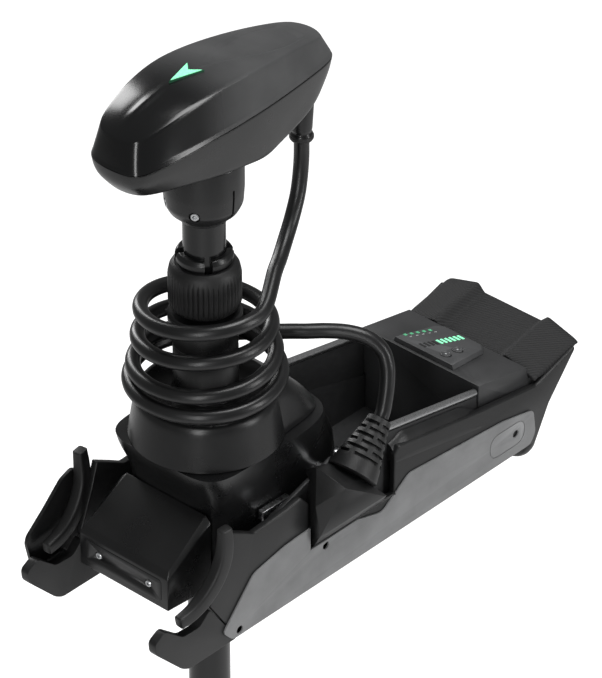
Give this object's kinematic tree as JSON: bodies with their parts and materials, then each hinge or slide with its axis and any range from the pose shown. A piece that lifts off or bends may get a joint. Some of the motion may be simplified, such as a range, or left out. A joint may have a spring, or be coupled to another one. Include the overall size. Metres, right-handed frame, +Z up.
{
  "type": "trolling motor",
  "caption": "Bow-mount electric trolling motor: tilting deck mount, clamped sliding shaft with steering head, coiled cable and a propeller drive.",
  "frame": {"origin": "centre of the flat deck face under the mount", "axes": "+Z up, away from the deck; -Y over the bow, where the shaft is; the foot pad is at +Y"},
  "size_m": [0.2391, 0.6093, 1.4773],
  "materials": {
    "black_plastic": "fine moulded texture",
    "gloss_black": "polished",
    "grey_plastic": "satin",
    "accent_grey": "satin paint",
    "rail": "anodised",
    "channel": "powder coat",
    "steel": "machined",
    "brass": "cut teeth",
    "copper": "wound wire",
    "rubber": "moulded",
    "composite": "pultruded tube",
    "board": "solder mask",
    "led": "lit"
  },
  "bodies": {
    "base": {"base_channel": "channel", "rail_right": "rail", "rail_left": "rail", "side_panel_right": "black_plastic", "side_panel_left": "black_plastic", "accent_panel_right": "accent_grey", "accent_panel_left": "accent_grey", "ramp_hook_right": "black_plastic", "ramp_hook_left": "black_plastic", "ramp_bumper_right": "rubber", "ramp_bumper_left": "rubber", "cable_boss": "black_plastic", "cable_boot": "rubber", "coil_cable_tail": "rubber", "rear_housing": "black_plastic", "display_panel": "gloss_black", "display_board": "board", "foot_pad": "rubber", "tilt_pin": "steel", "power_gland": "black_plastic", "power_cable": "rubber", "power_coil": "rubber", "power_cable_end": "rubber", "power_plug": "black_plastic", "power_tie": "black_plastic"},
    "tower": {"tower_housing": "black_plastic", "nose_cover": "black_plastic", "nose_screw_1": "steel", "nose_screw_2": "steel", "steering_motor": "steel", "guide_bush": "grey_plastic", "coil_cable": "rubber"},
    "steering": {"steering_sleeve": "black_plastic", "drive_gear": "brass", "depth_collet": "black_plastic"},
    "knob": {"depth_knob": "rubber"},
    "shaft": {"shaft_tube": "composite", "head_collar": "black_plastic", "collar_screw_1": "steel", "collar_screw_2": "steel", "head_lower_housing": "black_plastic", "head_top_cover": "grey_plastic", "head_lens": "gloss_black", "heading_arrow": "led", "head_board": "board", "head_gland": "black_plastic", "coil_cable_drop": "rubber", "drive_housing": "black_plastic", "drive_nose_cone": "black_plastic", "drive_end_bell": "black_plastic", "motor_stator": "copper"},
    "propulsion": {"rotor_shaft": "steel", "drive_pin": "steel", "propeller": "black_plastic", "propeller_nut": "steel"},
    "pinion": {"steering_pinion": "brass"},
    "latch": {"stow_latch": "steel"},
    "button_1": {"display_button_1": "grey_plastic"},
    "button_2": {"display_button_2": "grey_plastic"}
  },
  "joints": [
    {"name": "stow_tilt", "type": "hinge", "parent": "base", "child": "tower", "pos_m": [0, -0.07, 0.1], "axis": [-1, 0, 0], "range_deg": [0, 80], "deforming": ["coil_cable_tail"]},
    {"name": "steer", "type": "hinge", "parent": "tower", "child": "steering", "pos_m": [0, -0.155, 0.2], "axis": [0, 0, 1], "range_deg": [-180, 180]},
    {"name": "depth_slide", "type": "slide", "parent": "steering", "child": "shaft", "axis": [0, 0, 1], "range_m": [-0.025, 0.6], "deforming": ["coil_cable_drop"]},
    {"name": "knob_turn", "type": "hinge", "parent": "steering", "child": "knob", "pos_m": [0, -0.155, 0.31], "axis": [0, 0, 1], "range_deg": [0, 120]},
    {"name": "propeller_spin", "type": "hinge", "parent": "shaft", "child": "propulsion", "pos_m": [0, -0.155, -0.83], "axis": [0, 1, 0], "continuous": true},
    {"name": "pinion_turn", "type": "hinge", "parent": "tower", "child": "pinion", "pos_m": [0, -0.1038, 0.14], "axis": [0, 0, 1], "range_deg": [-541, 541]},
    {"name": "latch_slide", "type": "slide", "parent": "base", "child": "latch", "axis": [0, 1, 0], "range_m": [0, 0.006], "stiffness_N_per_m": 400},
    {"name": "button_1_press", "type": "slide", "parent": "base", "child": "button_1", "axis": [0, 0, -1], "range_m": [0, 0.001], "stiffness_N_per_m": 500},
    {"name": "button_2_press", "type": "slide", "parent": "base", "child": "button_2", "axis": [0, 0, -1], "range_m": [0, 0.001], "stiffness_N_per_m": 500}
  ],
  "couplings": [
    {"joint": "pinion_turn", "follows": "steer", "ratio": -3}
  ]
}
